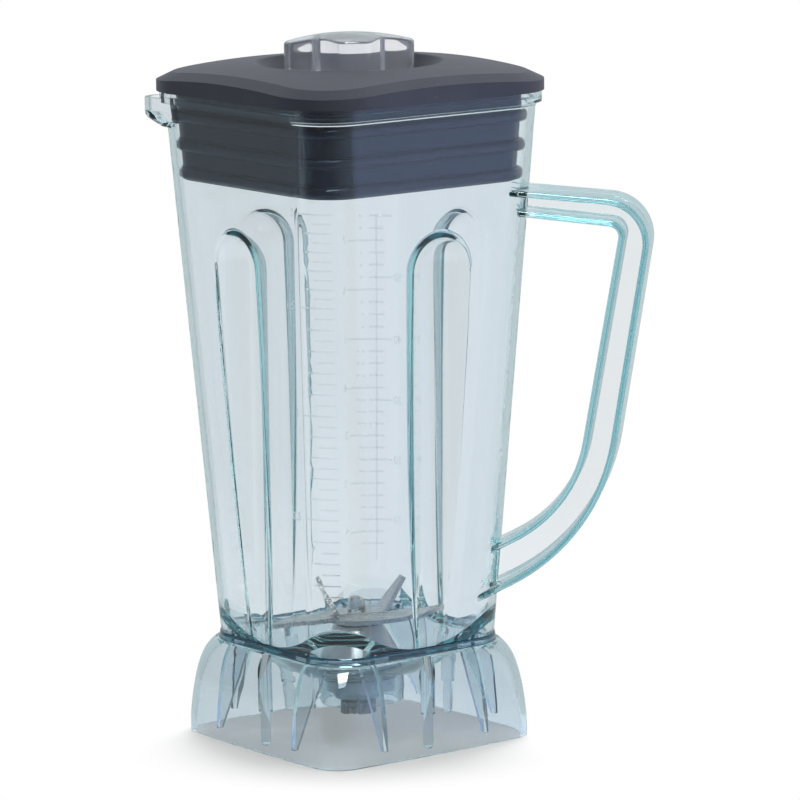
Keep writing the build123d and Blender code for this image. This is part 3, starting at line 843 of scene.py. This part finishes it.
@dataclass
class Bead(SubAssembly):
    """Moulded bead along the jar's wall.

    Its profile is given as distances off the wall and heights, in millimetres. It is carried round
    the corners, each an arc about a centre on its own line, and straight across the flats.
    """

    name: str = ""
    profile: Pairs = ()
    corners: tuple[float, ...] = (0.0, 90.0, 180.0, 270.0)
    whole: bool = True
    steps: int = 17
    plastic: Finish = ClearPlastic("bead_clear_plastic")

    def build(self) -> None:
        """Makes the bead, with flat ends where it doesn't go all the way round."""
        wall = WallCorner()
        off, z = np.array(self.profile).T
        arc = np.linspace(-EIGHTH_TURN, EIGHTH_TURN, self.steps)
        middle = np.radians(np.repeat(self.corners, self.steps))[:, None]
        turn = middle + np.tile(arc, len(self.corners))[:, None]
        centre, reach = wall.centre(z), wall.radius + off
        x = centre * np.cos(middle) + reach * np.cos(turn)
        y = centre * np.sin(middle) + reach * np.sin(turn)
        points = np.stack(np.broadcast_arrays(x, y, z), axis=-1) * MM
        piece = make_mesh(self.name, points, tube(*x.shape, loop=self.whole), True)
        self.keep(piece, self.plastic, "jar_plastic")


@dataclass
class FootBead(Bead):
    """Bead in the crease between the wall and the skirt, all the way round, whose dense dark tint
    is painted shade along the crease.
    """

    name: str = "foot_bead"
    profile: Pairs = (
        (0.03, 46.8), (0.3, 46.7), (0.55, 45.9), (0.8, 44.9),
        (1.2, 44.0), (1.25, 43.37), (0.03, 43.37),
    )
    # Painted shade: a dense dark teal tint darkens the crease.
    plastic: Finish = ClearPlastic(
        "foot_crease_painted_shade", through=(0.1, 0.43, 0.55), density=500.0
    )


@dataclass
class RimBead(Bead):
    """Bead under the jar's rim, open at the spout."""

    name: str = "rim_bead"
    profile: Pairs = (
        (0.03, 284.77), (1.5, 284.77), (1.3, 284.5), (0.7, 284.1),
        (0.4, 283.6), (0.3, 283.0), (0.03, 282.9),
    )
    corners: tuple[float, ...] = (-90.0, 0.0, 90.0)
    whole: bool = False


class Reading(Enum):
    """Length of a measuring mark, in millimetres along the wall."""

    SHORT = 8.0
    MIDDLE = 12.0
    LONG = 16.5


@dataclass
class MeasuringScale(SubAssembly):
    """Raised measuring marks on one corner of the jar, in millimetres.

    The profile is half an ellipse on a flat foot: a point at angle a stands width/2 cos a off the
    mark's middle and rise sin a off the wall, which it clears by a hair.
    """

    corner: WallCorner = WallCorner()
    mark: Finish = MouldedMark("scale_marks")
    width: float = 0.75
    rise: float = 0.32
    clear: float = 0.02
    letter: float = 5.2
    over_points: int = 7
    along_points: int = 13
    up_points: int = 25

    def ridge(self) -> tuple[np.ndarray, np.ndarray]:
        """The profile's distances off the mark's middle and off the wall."""
        angle = np.linspace(0.0, np.pi, self.over_points)
        return 0.5 * self.width * np.cos(angle), self.clear + self.rise * np.sin(angle)

    def bars(self, name: str, starts: np.ndarray, ends: np.ndarray, heights: np.ndarray) -> None:
        """Makes level bars as one piece: the profile carried from start to end at one height.

        Args:
            name: name of the piece.
            starts: distance along the wall where each bar starts.
            ends: distance where it ends.
            heights: height of its middle.
        """
        off, lift = self.ridge()
        run = np.linspace(0.0, 1.0, self.along_points)[:, None]
        s = starts[:, None, None] + (ends - starts)[:, None, None] * run
        points = self.corner.point(s, heights[:, None, None] + off, lift)
        faces = tube(self.along_points, self.over_points, copies=len(starts))
        self.keep(make_mesh(name, points, faces, False), self.mark, "jar_plastic")

    def rule(self, name: str, s: float, ends: Span) -> None:
        """Makes an upright line: the profile turned on its side and carried up the wall.

        Args:
            name: name of the piece.
            s: distance of the line along the wall.
            ends: heights of its lower and upper end.
        """
        off, lift = self.ridge()
        climb = np.linspace(*ends, self.up_points)[:, None]
        points = self.corner.point(s - off, climb, lift)
        faces = tube(self.up_points, self.over_points)
        self.keep(make_mesh(name, points, faces, False), self.mark, "jar_plastic")

    def number(self, name: str, words: str, s: float, z: float) -> None:
        """Makes figures bent onto the wall: X of the flat letters runs along it and Y up it.

        Args:
            name: name of the piece.
            words: the figures.
            s: distance of their middle along the wall.
            z: height of their middle.
        """
        curve = bpy.data.curves.new(name, "FONT")
        curve.body = words
        curve.size = self.letter
        curve.align_x = "CENTER"
        curve.align_y = "CENTER"
        curve.extrude = 0.5 * self.rise
        flat = put(name, curve)
        bpy.context.view_layer.update()
        ready = flat.evaluated_get(bpy.context.evaluated_depsgraph_get())
        mesh = bpy.data.meshes.new_from_object(ready)
        bpy.data.objects.remove(flat)
        bpy.data.curves.remove(curve)
        raw = np.zeros(len(mesh.vertices) * 3, np.float32)
        mesh.vertices.foreach_get("co", raw)
        x, y, up = raw.reshape(-1, 3).astype(float).T
        bent = self.corner.point(s + x, z + y, self.clear + 0.5 * self.rise + up)
        mesh.vertices.foreach_set("co", bent.astype(np.float32).ravel())
        mesh.update()
        self.keep(put(name, mesh), self.mark, "jar_plastic")


@dataclass
class LitreScale(MeasuringScale):
    """Marks every twentieth of a litre on the front corner."""

    right: float = 2.2
    step: float = 0.05
    first: int = 3
    last: int = 40
    figure_gap: float = 2.0
    figure_half: float = 1.4
    figures: tuple[str, ...] = ("0.5", "1", "1.5", "2")
    litres: tuple[float, ...] = (0.15, 0.5, 1.0, 1.5, 2.0)
    levels: tuple[float, ...] = (74.5, 109.3, 155.8, 203.6, 244.7)

    def build(self) -> None:
        """Makes the marks and their figures; every tenth is long and every second middling."""
        count = np.arange(self.first, self.last + 1)
        heights = np.interp(count * self.step, self.litres, self.levels)
        lengths = np.where(count % 2 == 0, Reading.MIDDLE.value, Reading.SHORT.value)
        lengths = np.where(count % 10 == 0, Reading.LONG.value, lengths)
        ends = np.full(len(count), self.right)
        self.bars("litre_marks", ends - lengths, ends, heights)
        edge = self.right - Reading.LONG.value - self.figure_gap
        for words, level in zip(self.figures, self.levels[1:]):
            name = "litre_figure_" + words.replace(".", "_")
            self.number(name, words, edge - self.figure_half * len(words), level)


@dataclass
class OunceScale(MeasuringScale):
    """Marks every second fluid ounce, and every cup, about a line on the back corner."""

    corner: WallCorner = WallCorner(side=1.0)
    line: float = 0.0
    line_ends: Span = (66.0, 224.0)
    half: float = 3.6
    long: float = 8.0
    first: int = 6
    last: int = 60
    figure_gap: float = 3.6
    cup: float = 8.0
    cups: int = 7
    cup_length: float = 11.0
    cup_figure: float = 13.4
    ounces: tuple[float, ...] = (10.0, 20.0, 30.0, 40.0, 50.0, 60.0)
    levels: tuple[float, ...] = (84.6, 112.1, 139.4, 167.2, 195.5, 223.5)

    def level(self, ounces: np.ndarray) -> np.ndarray:
        """Heights of volumes, straight between the known ones and on below the lowest.

        Args:
            ounces: the volumes.

        Returns:
            Their heights.
        """
        slope = (self.levels[1] - self.levels[0]) / (self.ounces[1] - self.ounces[0])
        below = np.minimum(ounces - self.ounces[0], 0.0)
        return np.interp(ounces, self.ounces, self.levels) + slope * below

    def build(self) -> None:
        """Makes the line, the marks on both sides of it and their figures."""
        self.rule("ounce_line", self.line, self.line_ends)
        count = np.arange(self.first, self.last + 1, 2)
        starts = np.where(count % 10 == 0, self.line - self.long, self.line - self.half)
        ends = np.full(len(count), self.line + self.half)
        self.bars("ounce_marks", starts, ends, self.level(count))
        for volume, level in zip(self.ounces[:-1], self.levels):
            words = f"{volume:.0f}"
            place = self.line - self.long - self.figure_gap
            self.number("ounce_figure_" + words, words, place, level)
        cups = np.arange(1, self.cups + 1)
        heights = self.level(cups * self.cup)
        starts = np.full(len(cups), self.line + self.half)
        ends = np.full(len(cups), self.line + self.cup_length)
        self.bars("cup_marks", starts, ends, heights)
        for cup, level in zip(cups, heights):
            self.number(f"cup_figure_{cup}", str(cup), self.line + self.cup_figure, level)


@dataclass
class Cover(SubAssembly):
    """The soft lid with its ribbed plug."""

    body: str = "cover"
    rubber: Finish = LidRubber("lid_charcoal_rubber", gloss=0.65, gleam=(0.6, 0.76, 1.0))

    def build(self) -> None:
        """Dresses the lid."""
        self.dress(self.rubber, "lid")


@dataclass
class FillerCap(SubAssembly):
    """The clear lobed cap in the lid's well: a thick moulding on a round seat with a hollow plug.

    Its outline is given for a quarter, along the long lobes and across them, in millimetres.
    """

    body: str = "cap"
    plastic: Finish = ClearPlastic(
        "cap_clear_plastic",
        face=(0.96, 0.97, 0.995),
        flow=(0.95, 0.96, 0.985),
        edge=(0.5, 0.53, 0.6),
        through=(0.75, 0.83, 0.9),
        density=6.0,
        index=1.49,
        clear=0.88,
    )
    quarter: Pairs = (
        (28.8, 0.0), (28.2, 2.9), (25.9, 5.2), (22.3, 6.9), (18.0, 8.2), (14.4, 9.4),
        (11.8, 11.4), (9.8, 14.6), (7.9, 18.2), (6.4, 20.1), (4.4, 20.9), (0.0, 21.1),
    )
    turn: float = 15.0
    top_z: float = 314.9
    dome: float = 115.0
    dome_shares: tuple[float, ...] = (0.04, 0.2, 0.4, 0.6, 0.8, 0.92)
    rounding: float = 1.3
    wall_shares: tuple[float, ...] = (0.25, 0.5, 0.75, 1.0)
    foot_z: float = 296.4
    flare: float = 0.8
    seat_top_z: float = 295.6
    seat_z: float = 293.05
    seat_radius: float = 29.0
    seat_edge: float = 0.4
    plug_z: float = 281.05
    plug_radius: float = 25.15
    plug_edge: float = 0.5
    bore_radius: float = 22.6
    bore_edge: float = 1.0
    bore_shares: tuple[float, ...] = (0.5, 0.04)
    curve_steps: int = 6
    edge_steps: int = 6
    crease: float = 40.0

    def outline(self) -> tuple[np.ndarray, np.ndarray]:
        """The whole outline and its outward normals.

        The quarter is mirrored into four, and a smooth loop goes through its points. Between two it
        is the cubic whose slope at each is half the step between that point's neighbours.

        Returns:
            Points and unit normals, each an array of pairs.
        """
        first = np.array(self.quarter)
        second = first[-2:0:-1] * (-1.0, 1.0)
        half = np.concatenate([first, second])
        corners = np.concatenate([half, -half])
        before, after, beyond = (np.roll(corners, shift, axis=0) for shift in (1, -1, -2))
        t = np.linspace(0.0, 1.0, self.curve_steps, endpoint=False)[None, :, None]
        start, end = 0.5 * (after - before)[:, None], 0.5 * (beyond - corners)[:, None]
        low, high = corners[:, None], after[:, None]
        curve = (2 * t**3 - 3 * t**2 + 1) * low + (t**3 - 2 * t**2 + t) * start
        curve = (curve + (3 * t**2 - 2 * t**3) * high + (t**3 - t**2) * end).reshape(-1, 2)
        along = np.roll(curve, -1, axis=0) - np.roll(curve, 1, axis=0)
        return curve, unit(np.stack([along[:, 1], -along[:, 0]], axis=1))

    def dome_z(self, ring: np.ndarray) -> np.ndarray:
        """Height of the dome, which falls with the square of the distance from its middle."""
        return self.top_z - (ring**2).sum(axis=1) / (2.0 * self.dome)

    def rings(self) -> list[tuple[np.ndarray, np.ndarray]]:
        """Rings of the cap, from the middle of the dome over the outside and back up the bore.

        The lobed wall goes straight down from its rounded edge, widens to a round seat, steps in to
        the plug, turns at the plug's end and comes back up the bore to its flat ceiling.

        Returns:
            For each ring its points and their heights.
        """
        curve, normal = self.outline()
        shoulder = curve - self.rounding * normal
        rings = [(share * shoulder, self.dome_z(share * shoulder)) for share in self.dome_shares]
        for angle in np.linspace(0.0, QUARTER_TURN, self.edge_steps):
            ring = curve - self.rounding * (1.0 - np.sin(angle)) * normal
            rings.append((ring, self.dome_z(shoulder) - self.rounding * (1.0 - np.cos(angle))))
        edge = rings[-1][1]
        rings += [(curve, edge + (self.foot_z - edge) * share) for share in self.wall_shares]
        room = np.clip(self.seat_radius - np.linalg.norm(curve, axis=1), 0.0, 1.0)[:, None]
        rings.append((curve + self.flare * room * normal, np.full(len(curve), self.seat_top_z)))
        round_rings = [
            (self.seat_radius - self.seat_edge, self.seat_top_z),
            (self.seat_radius, self.seat_top_z - self.seat_edge),
            (self.seat_radius, self.seat_z),
            (self.plug_radius, self.seat_z),
            (self.plug_radius, self.plug_z + self.plug_edge),
            (self.plug_radius - self.plug_edge, self.plug_z),
            (self.bore_radius, self.plug_z),
            (self.bore_radius, self.seat_z - self.bore_edge),
            (self.bore_radius - self.bore_edge, self.seat_z),
        ]
        round_rings += [(share * self.bore_radius, self.seat_z) for share in self.bore_shares]
        circle = unit(curve)
        return rings + [(radius * circle, np.full(len(curve), z)) for radius, z in round_rings]

    def build(self) -> None:
        """Makes the cap, creased where its faces meet sharply, and hides its plain solid."""
        rings = self.rings()
        flat = np.stack([ring for ring, _ in rings])
        z = np.stack([heights for _, heights in rings])
        angle = np.radians(self.turn)
        x = flat[..., 0] * np.cos(angle) - flat[..., 1] * np.sin(angle)
        y = flat[..., 0] * np.sin(angle) + flat[..., 1] * np.cos(angle)
        points = np.stack([x, y, z], axis=-1) * MM
        piece = make_mesh("lobed_cap", points, tube(*z.shape, flip=True), True)
        piece.data.set_sharp_from_angle(angle=np.radians(self.crease))
        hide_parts("filler_cap")
        self.keep(piece, self.plastic, "cap_plastic")


@dataclass
class BladeSet(SubAssembly):
    """Spindle, blades and what clamps them."""

    body: str = "rotor"
    upper: Finish = Metal("blade_ground_steel", grain=Grain.GROUND, turn=-23.0, roughness=0.22)
    lower: Finish = Metal(
        "lower_blade_ground_steel", grain=Grain.GROUND, turn=-34.0, roughness=0.22
    )
    turned: Finish = Metal("spindle_turned_steel", roughness=0.2)
    plated: Finish = PLATED_STEEL
    drive: Finish = Metal("coupling_sintered_steel", colour=(0.5, 0.49, 0.48), roughness=0.34)

    def build(self) -> None:
        """Dresses the rotor."""
        self.dress(self.upper, "upper_blade")
        self.dress(self.lower, "lower_blade")
        self.dress(self.turned, "spindle", "slinger_washer")
        self.dress(self.plated, "blade_washer", "blade_nut")
        self.dress(self.drive, "drive_coupling")


@dataclass
class Mounting(SubAssembly):
    """Bearing housing, its bearings and what holds it to the floor."""

    cast: Finish = Metal("housing_turned_alloy", colour=(0.66, 0.67, 0.68), roughness=0.28)
    plated: Finish = PLATED_STEEL
    race: Finish = Metal("bearing_ground_steel", colour=(0.68, 0.68, 0.69), roughness=0.12)
    ball: Finish = Metal(
        "ball_polished_steel", colour=(0.74, 0.74, 0.75), roughness=0.06, grain=Grain.POLISHED
    )
    cage: Finish = Metal(
        "cage_brass", colour=(0.72, 0.5, 0.2), stain=(0.5, 0.34, 0.14), roughness=0.28
    )
    rubber: Finish = MouldedRubber(
        "seal_black_rubber",
        colour=(0.02, 0.02, 0.021),
        worn=(0.05, 0.05, 0.05),
        roughness=0.5,
        grain=2600.0,
        grain_depth=0.00003,
    )

    def build(self) -> None:
        """Dresses the housing, both bearings, the seals and the fasteners."""
        self.dress(self.cast, "bearing_housing")
        self.dress(self.plated, "retaining_washer", "retaining_nut", "circlip")
        self.dress(self.rubber, "housing_gasket", "shaft_seal")
        self.dress(self.race, "bearing_spacer")
        for place in ("upper", "lower"):
            self.dress(self.race, f"{place}_bearing_outer_ring", f"{place}_bearing_inner_ring")
            self.dress(self.ball, f"{place}_bearing_balls")
            self.dress(self.cage, f"{place}_bearing_cage")


@dataclass(frozen=True)
class Lamp:
    """Rectangular soft light that faces a point."""

    name: str
    place: Triple
    size: Span
    power: float
    aim: Triple = (0.0, 0.0, 0.16)
    mirrored: bool = False

    def build(self) -> None:
        """Hangs the lamp, which either lights surfaces or only shows in them as a highlight."""
        light = bpy.data.lights.new(self.name, "AREA")
        light.shape = "RECTANGLE"
        light.size, light.size_y = self.size
        light.energy = self.power
        lamp = put(self.name, light)
        back = unit(np.subtract(self.place, self.aim))
        stand(lamp, self.place, unit(np.cross(UPWARD, back)), back)
        lamp.visible_camera = False
        lamp.visible_diffuse = not self.mirrored
        lamp.visible_glossy = self.mirrored
        lamp.visible_transmission = self.mirrored


@dataclass
class Studio:
    """White sweep, soft lamps, and the camera at the photograph's place, in metres."""

    eye: Triple = (0.3175, -2.2460, 0.5435)
    right: Triple = (0.9916, 0.1289, -0.0124)
    up: Triple = (-0.0099, 0.1708, 0.9852)
    lens: float = 232.81
    sensor: float = 36.0
    sight: float = 40.0
    floor_radius: float = 7.0
    floor_hub: float = 0.02
    floor_z: float = -0.0003
    floor_rings: int = 12
    floor_spokes: int = 64
    fill: float = 0.36
    overhead_z: Span = (0.35, 0.8)
    overhead_dim: float = 0.45
    bounces: int = 24
    lamps: tuple[Lamp, ...] = (
        Lamp("overhead_lamp", (0.1, 1.25, 1.25), (1.4, 1.2), 46.0),
        Lamp("right_lamp", (1.5, -0.5, 0.55), (0.7, 1.0), 8.0),
        Lamp("window_lamp", (0.16, -0.8, 1.45), (0.6, 0.75), 26.0, mirrored=True),
    )

    def hang_camera(self) -> None:
        """Sets the camera where the photograph was taken."""
        lens = bpy.data.cameras.new("camera")
        lens.sensor_width = self.sensor
        lens.lens = self.lens
        lens.clip_end = self.sight
        camera = put("camera", lens)
        right = unit(np.array(self.right))
        stand(camera, self.eye, right, unit(np.cross(right, self.up)))
        bpy.context.scene.camera = camera

    def light_world(self) -> None:
        """White for the camera and through clear pieces, a room with a dark side for the rest."""
        world = bpy.data.worlds.new("studio")
        bpy.context.scene.world = world
        world.use_nodes = True
        graph = Graph(world.node_tree)
        way = graph.add("ShaderNodeTexCoord", output="Generated")
        x, y, z = (graph.axis(way, name) for name in "XYZ")
        rays = RaySort(graph)
        clear = 1.0 - self.overhead_dim * z.step(*self.overhead_z)
        seen = rays.seen * rays.level(clear, rays.room(x, y))
        level = seen + (1.0 - rays.seen) * self.fill
        shine = graph.add("ShaderNodeBackground", None, {"Color": rays.colour(level, x, y)})
        graph.node("ShaderNodeOutputWorld", None, {"Surface": shine})

    def lay_floor(self) -> None:
        """Round floor: points at radius r and angle a, r growing with the square of its step."""
        step = np.linspace(self.floor_hub, 1.0, self.floor_rings)[:, None]
        r = self.floor_radius * step**2
        a = np.linspace(0.0, 2.0 * np.pi, self.floor_spokes, endpoint=False)
        where = np.broadcast_arrays(r * np.cos(a), r * np.sin(a), self.floor_z)
        # The last face would close the outer ring.
        faces = tube(self.floor_rings, self.floor_spokes, flip=True)[:-1]
        floor = make_mesh("floor", np.stack(where, axis=-1), faces, False)
        floor.data.materials.append(StudioFloor("white_sweep").make())

    def build(self) -> None:
        """Sets up the camera, the world, the floor and the lamps."""
        scene = bpy.context.scene
        scene.view_settings.view_transform = "Standard"
        self.hang_camera()
        self.light_world()
        self.lay_floor()
        for lamp in self.lamps:
            lamp.build()
        scene.cycles.max_bounces = self.bounces
        scene.cycles.glossy_bounces = self.bounces
        scene.cycles.transmission_bounces = self.bounces


def main() -> None:
    """Builds the sub-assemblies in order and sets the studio."""
    logging.basicConfig(level=logging.INFO, format="%(name)s: %(message)s")
    beads = (FootBead(), RimBead())
    scales = (LitreScale(), OunceScale())
    for part in (Jar(), *beads, *scales, Cover(), FillerCap(), BladeSet(), Mounting()):
        part.build()
    Studio().build()
    LOG.info("boxes written")


if __name__ == "__main__":
    main()
